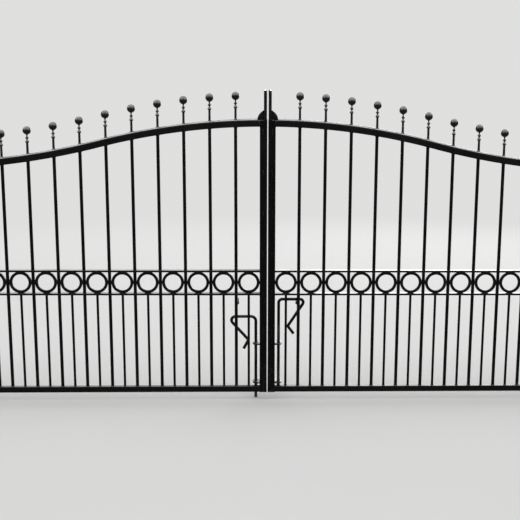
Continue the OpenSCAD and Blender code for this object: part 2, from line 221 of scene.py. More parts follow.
def nosing(length, nose):
    """Stations of a straight run and how far its section draws in at each: a quarter circle at
    either end, whose radius is the nose, or the first and the second of two."""
    first, last = (nose, nose) if np.isscalar(nose) else nose
    a = QUARTER[::-1]
    s = np.concatenate([first * (1 - np.sin(a)), length - last * (1 - np.sin(a[::-1]))])
    d = np.concatenate([first * (1 - np.cos(a)), last * (1 - np.cos(a[::-1]))])
    return s, d


def straight(start, end, across, width, depth, radius, nose):
    """Rounded bar from start to end: its outline is laid square to the line, and draws in over the
    nose at either end."""
    start, end = np.asarray(start, float), np.asarray(end, float)
    heading = unit(end - start)
    s, d = nosing(np.linalg.norm(end - start), nose)
    sections = np.stack([outline(width - 2 * i, depth - 2 * i, radius - i) for i in d])
    return carried(start + s[:, None] * heading, across, np.cross(heading, across), sections, ARRIS)


def upright(x, y, z0, z1, width, depth, radius, nose):
    """Rounded bar straight up from z0 to z1."""
    return straight((x, y, z0), (x, y, z1), X, width, depth, radius, nose)


def level(x0, x1, z, depth, height, radius):
    """Rounded bar along x at the height z, in the leaf's middle plane."""
    return straight((x0, 0, z), (x1, 0, z), Y, depth, height, radius, LEVEL_NOSE)


def turned(profile, count, at=(0, 0, 0)):
    """Lathe work: each (radius, height) of the profile becomes a circle about the upright axis."""
    profile = np.asarray(profile, float)
    path = profile[:, 1:] * Z + np.asarray(at, float)
    return carried(path, X, Y, profile[:, :1, None] * closed(count))


def rod(x, z0, z1, radius):
    """Upright round bar: its radius draws in over a quarter circle at either end."""
    s, d = nosing(z1 - z0, ROD_NOSE)
    return turned(np.stack([radius - d, z0 + s], -1), ROD_SIDES, (x, 0, 0))


def collar(inner, outer, height, edge, count, at):
    """Tube about the upright axis: a rounded wall section carried once round the circle of its
    middle."""
    radial = spread(closed(count), X, Y)
    path = radial * (inner + outer) / 2 + np.asarray(at, float)
    return carried(path, -radial, Z, outline(outer - inner, height, edge), ARRIS, True)


def bent_path(corners, radii, step):
    """Points and headings of a line through flat corners, each rounded by an arc of its own radius
    that touches both legs: straight legs by their ends, arcs by equal turns of the heading."""
    corners = np.asarray(corners, float)
    heads = unit(np.diff(corners, axis=0))
    points, headings = [corners[0]], [heads[0]]
    for corner, u, w, radius in zip(corners[1:-1], heads[:-1], heads[1:], radii):
        sweep = np.arccos(np.clip(u @ w, -1, 1))
        side = np.sign(u[0] * w[1] - u[1] * w[0])
        left = side * np.array([-u[1], u[0]])
        a = np.linspace(0, sweep, max(int(sweep * radius / step) + 3, 6))[:, None]
        first = corner - radius * np.tan(sweep / 2) * u
        points += list(first + radius * (np.sin(a) * u + (1 - np.cos(a)) * left))
        headings += list(np.cos(a) * u + np.sin(a) * left)
    return np.array(points + [corners[-1]]), np.array(headings + [heads[-1]])


def slab(shape, y0, y1, edge):
    """Flat piece cut to a convex shape in x and z: the shape is carried through its thickness, and
    its points step inwards along the bisector of their two sides over a quarter circle at each
    face."""
    s, d = nosing(y1 - y0, edge)
    out = unit(np.roll(shape, -1, 0) - shape) @ np.array([[0, -1], [1, 0]])
    back = np.roll(out, 1, 0)
    mitre = (out + back) / (1 + (out * back).sum(-1, keepdims=True))
    sections = shape - d[:, None, None] * mitre
    return carried((y0 + s)[:, None] * Y, Z, X, sections[..., ::-1])


def bead(path, radius, ripple, phase, loop=True):
    """Weld run along a path: a small six-sided section across it, whose radius swells as one sine
    of the distance run for each ripple and as a slow one twice in all. An open run dies away with
    the root of one less the sixth power of the way from its middle to its end."""
    ripple_share, slow_share, least_share = 0.16, 0.10, 0.01
    ahead = np.roll(path, -1, 0) - np.roll(path, 1, 0) if loop else np.gradient(path, axis=0)
    heading = unit(ahead)
    step = np.linalg.norm(np.diff(path, axis=0, append=path[:1] if loop else path[-1:]), axis=-1)
    run = np.concatenate([[0], np.cumsum(step)[:-1]])
    total = step.sum()
    swells = max(round(total / ripple), 1)
    size = radius * (1 + ripple_share * np.sin(2 * np.pi * swells * run / total + phase))
    size = size * (1 + slow_share * np.sin(2 * np.pi * 2 * run / total + 2 * phase))
    if not loop:
        size = size * np.sqrt(np.maximum(1 - (2 * run / total - 1) ** 6, least_share))
    side = unit(np.cross(heading, np.where(abs(heading[:, 2:]) > 0.9, X, Z)))
    return carried(path, side, np.cross(heading, side), size[:, None, None] * closed(6), 0.0, loop)


def bar_bead(x, width, z, slope, radius, phase, squareness=0.0, ripple=BAR_RIPPLE, count=40):
    """Weld run round a bar: the bar's outline laid on a plane that rises by the slope along x."""
    flat = width / 2 * closed(count, squareness)
    return bead(spread(flat, X + slope * Z, Y) + (x, 0, z), radius, ripple, phase)


def run_bead(start, travel, count, radius, ripple, phase):
    """Open weld run: equal steps of the travel from the start."""
    return bead(np.linspace(0, 1, count)[:, None] * travel + start, radius, ripple, phase, False)


def tack(x, z, half, phase):
    """Lump of weld metal: a sphere stretched to its three half sizes, its skin raised by two
    crossed sines."""
    pole, rows, columns, unevenness = 0.16, 7, 10, 0.10
    up = np.linspace(pole, np.pi - pole, rows)[:, None]
    a = np.linspace(0, 2 * np.pi, columns, endpoint=False)
    swell = 1 + unevenness * np.sin(3 * a + phase) * np.sin(2 * up + phase)
    sections = (np.sin(up) * swell)[..., None] * closed(columns)
    points, quads, tris, worn = carried(-np.cos(up) * Z, X, Y, sections)
    points[-2:, 2] = -1, 1
    return points * half + (x, 0, z), quads, tris, worn


def made(name, solid, side, body, paint, nodes=(), wear_and_highlight=None):
    """The mesh of one piece, in metres. Its normals are the means of its faces', weighed by their
    area, so that flats stay flat and only the rounded arrises turn the light."""
    points, quads, tris, worn = solid
    points = (points * (side, 1, 1) + (GATE_MID, 0, 0)) / MM_PER_M
    if side < 0:
        quads, tris = quads[:, ::-1], tris[:, ::-1]
    mesh = bpy.data.meshes.new(name)
    mesh.vertices.add(len(points))
    mesh.vertices.foreach_set("co", points.astype(np.float32).ravel())
    corners = np.concatenate([quads.ravel(), tris.ravel()]).astype(np.int32)
    starts = np.concatenate([np.arange(len(quads)) * 4, quads.size + np.arange(len(tris)) * 3])
    mesh.loops.add(len(corners))
    mesh.loops.foreach_set("vertex_index", corners)
    mesh.polygons.add(len(starts))
    mesh.polygons.foreach_set("loop_start", starts.astype(np.int32))
    mesh.update(calc_edges=True)
    mesh.polygons.foreach_set("use_smooth", np.ones(len(starts), bool))
    a, b, c, d = points[quads.T]
    e, f, g = points[tris.T]
    normal = np.zeros_like(points)
    for faces, across in ((quads, np.cross(c - a, d - b)), (tris, np.cross(f - e, g - e))):
        for corner in faces.T:
            np.add.at(normal, corner, across)
    length = np.linalg.norm(normal, axis=1, keepdims=True)
    mesh.normals_split_custom_set_from_vertices((normal / np.maximum(length, 1e-12)).tolist())
    marks = {"arris": worn} if wear_and_highlight is None else {"arris": worn, "wear_and_highlight": wear_and_highlight}
    for label, value in marks.items():
        layer = mesh.attributes.new(label, "FLOAT", "POINT")
        layer.data.foreach_set("value", value.astype(np.float32))
    piece = bpy.data.objects.new(name, mesh)
    bpy.context.scene.collection.objects.link(piece)
    mesh.materials.append(paint)
    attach(piece, body)
    if nodes:
        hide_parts(*nodes)


class Nodes:
    """Short hand for a node tree: each call adds one node, and its keywords set or feed its
    inputs, by name or as i0, i1 and so on by number."""

    def __init__(self, owner):
        owner.use_nodes = True
        self.tree = owner.node_tree
        self.tree.nodes.clear()

    def add(self, kind, settings=None, **inputs):
        """A node of the kind with its settings made and its inputs fed."""
        node = self.tree.nodes.new(kind)
        for key, value in (settings or {}).items():
            setattr(node, key, value)
        for key, value in inputs.items():
            number = key[1:]
            socket = int(number) if number.isdigit() else key.replace("_", " ")
            self.feed(node.inputs[socket], value)
        return node

    def feed(self, socket, value):
        """Link a socket, or set a plain value."""
        if isinstance(value, bpy.types.NodeSocket):
            self.tree.links.new(value, socket)
        else:
            socket.default_value = value

    def math(self, operation, a, b):
        """The two values put through one operation."""
        return self.add("ShaderNodeMath", {"operation": operation}, i0=a, i1=b).outputs[0]

    def between(self, value, low, high, to_low=0.0, to_high=1.0):
        """Smooth step from to_low at low to to_high at high."""
        return self.add(
            "ShaderNodeMapRange", {"interpolation_type": "SMOOTHSTEP"},
            Value=value, From_Min=low, From_Max=high, To_Min=to_low, To_Max=to_high,
        ).outputs[0]


class Paint(Nodes):
    """A material's nodes, with the piece's own coordinates at hand."""

    def __init__(self, name):
        self.material = bpy.data.materials.new(name)
        super().__init__(self.material)
        self.place = self.add("ShaderNodeTexCoord").outputs

    def height_of(self, kind):
        """Upward part of the piece's coordinate or normal."""
        return self.add("ShaderNodeSeparateXYZ", Vector=self.place[kind]).outputs[2]

    def noise(self, scale, detail=3.0, stretch=(1, 1, 1), rough=0.5):
        """Cloud noise of that many waves a metre, drawn out along an axis stretched below 1."""
        where = self.add("ShaderNodeMapping", Vector=self.place["Object"], Scale=stretch).outputs[0]
        return self.add(
            "ShaderNodeTexNoise", Vector=where, Scale=scale, Detail=detail, Roughness=rough
        ).outputs[0]

    def mark(self, label):
        """The value that the mesh carries at each point under the label."""
        return self.add("ShaderNodeAttribute", {"attribute_name": label}).outputs["Fac"]

    def blend(self, share, a, b):
        """Share of colour b over colour a, each of them a colour or a socket."""
        node = self.add("ShaderNodeMix", {"data_type": "RGBA"}, Factor=share)
        for key, value in ((6, a), (7, b)):
            self.feed(node.inputs[key], (*value, 1) if isinstance(value, tuple) else value)
        return node.outputs[2]

    def finish(self, colour, roughness, height, shine, metal=0.0):
        """Gloss over the colour, its normal tipped by the slope of the height. Returns the
        material."""
        lift = self.add("ShaderNodeBump", Height=height, Strength=BUMP, Distance=BUMP_DEPTH)
        shader = self.add(
            "ShaderNodeBsdfPrincipled",
            Base_Color=colour, Roughness=roughness, Normal=lift.outputs[0], Metallic=metal,
            Specular_IOR_Level=shine,
        )
        self.add("ShaderNodeOutputMaterial", Surface=shader.outputs[0])
        return self.material


BLACK, WORN_BLACK = (0.0015, 0.0013, 0.0015), (0.030, 0.029, 0.029)
# The dust colour serves the mud splashes and the dust on upward faces, which is partly a painted
# sheen.
DUST_AND_SHEEN, RUST, STEEL = (0.050, 0.047, 0.042), (0.085, 0.030, 0.012), (0.32, 0.31, 0.30)
UPRIGHT_GRAIN, LEVEL_GRAIN, FITTING_GRAIN = (1, 1, 0.05), (0.05, 1, 1), (1, 1, 0.4)
# Scales of the noises, per metre, and the share and depth of the relief in metres
PATCHES, STREAKS, SKIN, GRIT, PRICKS, SCRATCHES = 7.0, 230.0, 420.0, 95.0, 150.0, 60.0
BUMP, BUMP_DEPTH = 0.22, 0.0005


def enamel(name, gloss, shine, grain, dust=0.5, rust=0.5, lumps=0.0, wear_and_highlight=False):
    """Brushed black enamel: streaks along the grain, a fine orange skin, dull patches, dust on what
    faces up, which is partly a painted sheen of those faces, mud splashes and rust pricks low down,
    and worn arrises. Where the mark is set, bare steel shows: real wear on the bolt, a painted
    highlight on the knob and the guides."""
    r = Paint(name)
    patch = r.noise(PATCHES, 4.0)
    streak = r.noise(STREAKS, 2.0, grain)
    skin = r.noise(SKIN, 2.0)
    grit = r.noise(GRIT, 5.0, rough=0.62)
    faces_up = r.between(r.height_of("Normal"), 0.45, 0.98)
    low = r.between(r.height_of("Object"), 0.02, 0.34, 1.0, 0.0)
    # Dust settled on upward faces: partly real dust, partly a painted sheen of those faces.
    settled_dust_and_sheen = r.math("MULTIPLY", faces_up, r.between(grit, 0.42, 0.75, 0.0, dust))
    splash = r.math("MULTIPLY", low, r.between(grit, 0.5, 0.72, 0.0, 0.8 * dust))
    dirt_and_sheen = r.math("MAXIMUM", settled_dust_and_sheen, splash)
    arris = r.math("MULTIPLY", r.mark("arris"), r.between(grit, 0.53, 0.64))
    prick = r.between(r.noise(PRICKS, 4.0, rough=0.7), 0.665, 0.70)
    spread_of_rust = r.math("ADD", r.math("MULTIPLY", low, 0.8 * rust), 0.12 * rust)
    rusty = r.math("MULTIPLY", prick, spread_of_rust)
    tint = r.blend(r.between(patch, 0.3, 0.7), BLACK, tuple(1.7 * c for c in BLACK))
    tint = r.blend(r.math("MULTIPLY", arris, 0.35), tint, WORN_BLACK)
    tint = r.blend(dirt_and_sheen, tint, DUST_AND_SHEEN)
    tint = r.blend(r.math("MINIMUM", rusty, 0.8), tint, RUST)
    dull = r.between(patch, 0.25, 0.75, gloss - 0.05, gloss + 0.08)
    dull = r.math("ADD", dull, r.math("MULTIPLY", dirt_and_sheen, 0.45))
    dull = r.math("ADD", dull, r.math("MULTIPLY", r.math("MAXIMUM", rusty, arris), 0.25))
    relief = r.math("ADD", r.math("MULTIPLY", streak, 0.9), r.math("MULTIPLY", skin, 0.5))
    relief = r.math("ADD", relief, r.math("MULTIPLY", grit, 0.25 + lumps))
    relief = r.math("ADD", relief, r.math("MULTIPLY", rusty, 0.8))
    if not wear_and_highlight:
        return r.finish(tint, dull, relief, shine)
    scratches = r.between(r.noise(SCRATCHES, 4.0, (1, 1, 0.12)), 0.40, 0.58)
    # Bare steel where the mark is set: real wear on the bolt's stem, a painted highlight on the
    # knob's and the guides' tops.
    bare = r.math("MULTIPLY", r.mark("wear_and_highlight"), scratches)
    dull = r.math("SUBTRACT", dull, r.math("MULTIPLY", bare, 0.05))
    return r.finish(r.blend(bare, tint, STEEL), dull, relief, shine, bare)


upright_enamel = enamel("upright_enamel", 0.22, 0.05, UPRIGHT_GRAIN)
rail_enamel = enamel("rail_enamel", 0.17, 0.09, LEVEL_GRAIN, dust=0.2)
ball_enamel = enamel("ball_enamel", 0.24, 0.15, (1, 1, 0.5), dust=0.3, rust=0.2)
# bolt_enamel shows bare steel where the bolt really wears; knob_enamel and guide_enamel show it as
# a painted highlight.
bolt_enamel = enamel("bolt_enamel", 0.30, 0.08, (1, 1, 0.1), rust=0.6, wear_and_highlight=True)
fitting_enamel = enamel("fitting_enamel", 0.28, 0.14, FITTING_GRAIN, rust=0.8)
post_enamel = enamel("post_enamel", 0.22, 0.06, UPRIGHT_GRAIN)
knob_enamel = enamel("knob_enamel", 0.24, 0.08, UPRIGHT_GRAIN, wear_and_highlight=True)
capping_enamel = enamel("capping_enamel", 0.17, 0.35, LEVEL_GRAIN)
guide_enamel = enamel("guide_enamel", 0.28, 0.14, FITTING_GRAIN, rust=0.8, wear_and_highlight=True)
weld_enamel = enamel("weld_enamel", 0.26, 0.2, (1, 1, 1), rust=0.9, lumps=0.5)


def full_bars():
    """Round bars, from inside the bottom rail to inside the top rail."""
    foot = BOTTOM_TOP - INTO_BOTTOM
    return joined([rod(x, foot, top_z(x) - INTO_TOP, BAR_W / 2) for x in BAR_X])


def dog_bars():
    """Thinner round bars, from inside the bottom rail to inside the lower flat."""
    foot = BOTTOM_TOP - INTO_BOTTOM
    return joined([rod(x, foot, LOW_FLAT + INTO_FLAT, DOG_W / 2) for x in BAY_X])


def rings():
    """Flat bar carried round a circle, whose section stays square to the circle's radius."""
    out = spread(closed(RING_SIDES), X, Z)
    section = outline(RING_DEPTH, RING_WALL, RING_EDGE)
    one = carried(RING_R * out, Y, -out, section, ARRIS, True)
    return joined([moved(one, (x, 0, BAND_Z)) for x in BAY_X])


def along_bell(x0, x1, section, worn):
    """Section carried along the bell curve by equal steps of x, square to the curve's slope."""
    x = np.linspace(x0, x1, BELL_STEPS)
    heading = unit(X + top_slope(x)[:, None] * Z)
    path = spread(np.stack([x, top_z(x)], -1), X, Z)
    return carried(path, Y, np.cross(heading, Y), section, worn)


def top_rail():
    """Square tube along the bell curve."""
    return along_bell(STILE_OUT - 2, HANG_IN + 2, outline(RAIL_W, RAIL_W, RAIL_EDGE), ARRIS)


def rail_capping():
    """Convex strip along the top rail, from the shoulder's foot to the hanging stile's far side:
    half an ellipse over a low square foot."""
    a = np.linspace(0, np.pi, 15)
    crown = np.stack([CAPPING_W / 2 * np.cos(a), (CAPPING_H - CAPPING_FOOT) * np.sin(a)], -1)
    foot = np.array([[-0.5, -0.6], [-0.48, -1.2], [0.48, -1.2], [0.5, -0.6]])
    section = np.concatenate([crown, foot * (CAPPING_W, CAPPING_FOOT)])
    section += (0, RAIL_W / 2 + CAPPING_FOOT)
    worn = np.repeat([0.0, 1.0], [len(crown), len(foot)])
    return along_bell(SHOULDER_R - 1.5, HANG_OUT - 0.5, section, worn)


def foot_rail():
    """Box rail between the stiles."""
    middle, height = (GROUND_CLEARANCE + BOTTOM_TOP) / 2, BOTTOM_TOP - GROUND_CLEARANCE
    return level(*LEVEL_ENDS, middle, BOTTOM_W, height, BOTTOM_EDGE)


def band_rails():
    """Two flat rails between the stiles, under and over the rings."""
    middles = LOW_FLAT + FLAT_T / 2, HIGH_FLAT + FLAT_T / 2
    return joined([level(*LEVEL_ENDS, z, FLAT_DEPTH, FLAT_T, FLAT_EDGE) for z in middles])


def stile(middle, top):
    """Box stile from the ground's clearance to its top."""
    size = STILE_W, STILE_W, STILE_EDGE, STILE_NOSE
    return upright(middle, 0, GROUND_CLEARANCE, top, *size)


def front_strip():
    """Flat strip on the meeting stile's face, raised a little over both its ends."""
    x, y = STILE_IN + STRIP_W / 2, -STILE_W / 2 - STRIP_T / 2
    ends = GROUND_CLEARANCE + STRIP_RISE, STILE_TOP + STRIP_RISE
    return upright(x, y, *ends, STRIP_W, STRIP_T, STRIP_EDGE, STILE_NOSE)


def finials():
    """Turned finial: a plain stem, a swelling under a groove, a bead that is half an ellipse, a
    thin neck and a ball, whose radius is the ball's times the sine of the angle from its foot."""
    t = np.linspace(0.25, np.pi - 0.25, 9)
    ring = np.stack([BEAD_ROOT + BEAD_BULGE * np.sin(t), BEAD_RISE - BEAD_HALF * np.cos(t)], -1)
    a = np.linspace(0.27, np.pi - 0.04, 24)
    ball = np.stack([BALL_R * np.sin(a), BALL_RISE - BALL_R * np.cos(a)], -1)
    profile = np.concatenate([FINIAL_STEM, ring, FINIAL_NECK, ball])
    return joined([turned(profile, FINIAL_SIDES, (x, 0, top_z(x))) for x in BAR_X])


def top_upright():
    """Square bar with a ball sunk into its end: the ball's radius is the knob's times the sine of
    the angle. The ball's upper part is painted as bare steel, a painted highlight."""
    a = np.linspace(0.85, np.pi - 0.06, 18)
    knob = np.stack([KNOB_R * np.sin(a), UPRIGHT_TOP + KNOB_SEAT - KNOB_R * np.cos(a)], -1)
    middle = UPRIGHT_IN + UPRIGHT_W / 2
    size = UPRIGHT_W, UPRIGHT_W, UPRIGHT_EDGE, (LEVEL_NOSE, UPRIGHT_EDGE)
    bar = upright(middle, 0, STILE_TOP, UPRIGHT_TOP, *size)
    solid = joined([bar, turned(knob, KNOB_SIDES, (middle, 0, 0))])
    # Painted highlight: bare steel over the knob's top, where the light falls.
    highlight_from, highlight_over = UPRIGHT_TOP + 7.5, 3.0
    return solid, np.clip((solid[0][:, 2] - highlight_from) / highlight_over, 0, 1)


def shoulder():
    """Quarter disc: the flat foot, the arc about the gateway's middle and the flat side against
    the upright."""
    a = np.linspace(0.02, np.arccos(UPRIGHT_OUT / SHOULDER_R), 28)
    arc = SHOULDER_R * np.stack([np.cos(a), np.sin(a)], -1)
    top = [(UPRIGHT_OUT, arc[-1, 1] - 0.4)]
    shape = np.concatenate([[(UPRIGHT_OUT, 0.0)], [(SHOULDER_R, 0.0)], arc, top])
    return moved(slab(shape, -UPRIGHT_W / 2, UPRIGHT_W / 2, SHOULDER_EDGE), (0, 0, STILE_TOP))


def bolt_guides():
    """Plate with a hole: for each turn about the bolt, its edge lies where the ray leaves a shape
    that is square on the stile's side and, on the other, the oval where the sum of both distances
    over their reaches, each to the power, is one. A rounded strip joins that edge to the hole. The
    tops carry bare steel as a painted highlight, but for the strip in front of the bolt, which
    stays dark."""
    lug = BOLT_X - STILE_OUT
    turns = (np.arange(GUIDE_SIDES) + 0.5) * np.pi / (GUIDE_SIDES / 2)
    corners = [np.arctan2(GUIDE_DEEP, -lug), np.arctan2(-GUIDE_DEEP, -lug) + 2 * np.pi]
    a = np.unique(np.concatenate([turns, corners]))
    c, s = np.cos(a), np.sin(a)
    square = np.minimum(lug / np.maximum(-c, 1e-6), GUIDE_DEEP / np.maximum(abs(s), 1e-6))
    oval = abs(c / GUIDE_OUT) ** GUIDE_POWER + abs(s / GUIDE_DEEP) ** GUIDE_POWER
    edge = np.where(c < 0, square, oval ** (-1 / GUIDE_POWER))
    hole = BOLT_R + GUIDE_PLAY
    sections = np.stack([outline(w, GUIDE_T, GUIDE_EDGE) for w in edge - hole])
    radial = spread(np.stack([c, s], -1), X, Y)
    one = carried(radial * ((edge + hole) / 2)[:, None], -radial, Z, sections, ARRIS, True)
    solid = joined([moved(one, (BOLT_X, BOLT_Y, z + GUIDE_T / 2)) for z in GUIDES])
    x, y, z = solid[0].T
    off_top = np.min([abs(z - guide - GUIDE_T) for guide in GUIDES], 0)
    shaded = (y < BOLT_Y) * np.clip((BOLT_R + 3 - abs(x - BOLT_X)) / 2, 0, 1)
    # Painted highlight: bare steel over the guides' top faces.
    return solid, GUIDE_SHINE * (off_top < 0.3) * (1 - shaded)


def handle_hook():
    """Bent flat: from the bar's side back towards the handle's arm, then up. Its section draws in
    where it starts, and over its second half with the third power of the way to its tip."""
    x = BAR_X[0] - BAR_W / 2 - HOOK_OFF
    z = ARM_Z + BOLT_LIFT - HOOK_DROP
    corners = (HOOK_FROM, z), (HOOK_TO, z), (HOOK_TO, z + HOOK_RISE)
    path, heads = bent_path(corners, [HOOK_BEND], 1.0)
    s = np.linspace(0, 1, len(path))
    drawn = HOOK_START * (s == 0) + HOOK_THINNED * np.clip((s - 0.5) / 0.5, 0, 1) ** 3
    sections = np.stack([outline(HOOK_W - 2 * d, HOOK_T - 2 * d, HOOK_EDGE) for d in drawn])
    rise = np.cross(spread(heads, Y, Z), X)
    return carried(spread(path, Y, Z) + (x, 0, 0), X, rise, sections, ARRIS)


def drop_bolt(lift, corner, reach, loop, knee, kick):
    """Round bar along its bent line, whose tips draw in over part of a quarter circle. The marks
    rise and fall over 12 mm at the ends of the stretches that run in the guides."""
    bends = [(0, ARM_Z), (reach, ARM_Z), (knee[0], ARM_Z - knee[1])]
    corners = [(0, -BOLT_BURY), *bends, (kick[0], ARM_Z - kick[1])]
    path, heads = bent_path(corners, [corner, loop, KNEE_R], 2.0)
    stem = np.linspace(0, 1, 60)[1:-1, None] * (path[1] - path[0]) + path[0]
    turn = np.radians([60, 35, 15, 0])
    inset, radius = BOLT_TIP * (1 - np.sin(turn)), BOLT_R - BOLT_TIP * (1 - np.cos(turn))
    inset[0] = 0
    foot = path[0] + inset[:, None] * heads[0]
    tail = path[-1] - inset[::-1, None] * heads[-1]
    first, last = np.tile(heads[0], (len(foot) + len(stem), 1)), np.tile(heads[-1], (len(tail), 1))
    size = np.concatenate([radius, np.full(len(stem) + len(path) - 2, BOLT_R), radius[::-1]])
    path = np.concatenate([foot, stem, path[1:-1], tail])
    rise = np.cross(spread(np.concatenate([first, heads[1:-1], last]), X, Z), Y)
    solid = carried(spread(path, X, Z), Y, rise, size[:, None, None] * closed(BOLT_SIDES))
    solid = moved(solid, (BOLT_X, BOLT_Y, lift))
    x, _, z = solid[0].T
    on_stem = abs(x - BOLT_X) < BOLT_R + 1
    low, high = (0.0, BOLT_LIFT) if lift else (-BOLT_LIFT, 0.0)
    fade, above = 12, 18
    rub = sum(
        np.clip((z - guide - low + fade) / fade, 0, 1)
        * np.clip((guide + high + above - z) / fade, 0, 1)
        for guide in GUIDES
    )
    return solid, on_stem * np.clip(rub, 0, 1) * BOLT_SHINE


def hinge_eyes():
    """Tube about each pin, and a block from the stile that runs into its wall."""
    eye = collar(PIN_R + PIN_PLAY, EYE_R, EYE_H, EYE_EDGE, EYE_SIDES, (PIN_X, 0, 0))
    block = level(HANG_OUT - 1, PIN_X - PIN_R - 1.5, 0, EYE_R, EYE_H, BLOCK_EDGE)
    return joined([moved(joined([eye, block]), (0, 0, z)) for z in HINGES])


def hinge_brackets():
    """Plate on the post, a lug with a round end under the eye, and the pin with its domed head."""
    plate_x, middle = POST_IN - PLATE_T, -LUG_T / 2
    ends = (plate_x, 0, middle), (POST_IN + 0.5, 0, middle)
    plate = straight(*ends, Y, PLATE_DEPTH, PLATE_H, PLATE_EDGE, (1.2, 0.2))
    lug = level(PIN_X, plate_x + 1, middle, LUG_DEPTH, LUG_T, LUG_EDGE)
    lug_end = [
        (PIN_R + 4, -LUG_T), (EYE_R - 1, -LUG_T), (EYE_R - 0.3, -LUG_T + 0.3),
        (EYE_R, -LUG_T + 1), (EYE_R, -1), (EYE_R - 0.3, -0.3), (EYE_R - 1, 0), (PIN_R + 1, 0),
    ]
    top = EYE_H + PIN_OVER
    pin = [
        (PIN_R - 2, -LUG_T), (PIN_R, -LUG_T + 1), (PIN_R, top - 3), (PIN_R - 0.5, top - 1.4),
        (PIN_R - 2, top - 0.4), (PIN_R - 5, top),
    ]
    end, pin = turned(lug_end, EYE_SIDES), turned(pin, PIN_SIDES)
    one = joined([plate, lug, moved(joined([end, pin]), (PIN_X, 0, 0))])
    return joined([moved(one, (0, 0, z - EYE_H / 2 - EYE_GAP)) for z in HINGES])


def square_post():
    """Box post on its foot plate."""
    return upright(POST_MID, 0, FOOT_T, POST_TOP, POST_W, POST_W, POST_EDGE, POST_NOSE)


def post_cap():
    """Square cap: an upright skirt, then a low pyramid whose side shrinks evenly with height."""
    half, peak = CAP_W / 2, CAP_PEAK
    skirt = [(half - 1, 0), (half - 0.3, 0.4), (half, 1.2), (half, CAP_SKIRT - 1.4)]
    slope = [(half - 0.6, CAP_SKIRT - 0.2), (half - 2.2, CAP_SKIRT + 0.8), (8.0, peak - 2.6)]
    profile = np.array([*skirt, *slope, (5.2, peak - 1.0), (3.0, peak - 0.4)])
    sections = np.stack([outline(2 * h, 2 * h, 3.0 if h > 20 else 1.2) for h in profile[:, 0]])
    return carried(profile[:, 1:] * Z + (POST_MID, 0, POST_TOP), X, Y, sections, ARRIS)


def base_plate():
    """Square plate with rounded corners under the post."""
    return upright(POST_MID, 0, 0, FOOT_T, FOOT_W, FOOT_W, FOOT_EDGE, (POST_NOSE, 1.5))


def anchors():
    """Four studs with nuts and washers: round and six-sided sections carried upright. The stud's
    radius goes to and fro between two values to make its thread."""
    a = np.arange(6) * np.pi / 3 + 0.2
    flat = np.stack([np.cos(a), np.sin(a)], -1)
    side = np.roll(flat, -1, 0) - flat
    hexagon = np.stack([flat + side * t for t in (0.06, 0.5, 0.94)], 1).reshape(-1, 2)
    nut_profile = np.array([(10.1, 2.5), (10.95, 3.5), (10.95, 11.5), (10.1, 12.5)])
    nut = carried(nut_profile[:, 1:] * Z, X, Y, nut_profile[:, :1, None] * hexagon)
    washer = turned([(11.4, -0.2), (12, 0.4), (12, 2.0), (11.5, 2.5)], WASHER_SIDES)
    root, crest, half_pitch = 5.5, 6.0, 0.44
    turns = [[(root, 12 + t), (crest, 12 + t + half_pitch)] for t in np.arange(0, 11.5, 0.875)]
    stud = turned(sum(turns, []) + [(5.4, 25), (4.4, 25.6)], STUD_SIDES)
    one = moved(joined([nut, washer, stud]), (POST_MID, 0, FOOT_T))
    reach = -ANCHOR_REACH, ANCHOR_REACH
    return joined([moved(one, (x, y, 0)) for x in reach for y in reach])


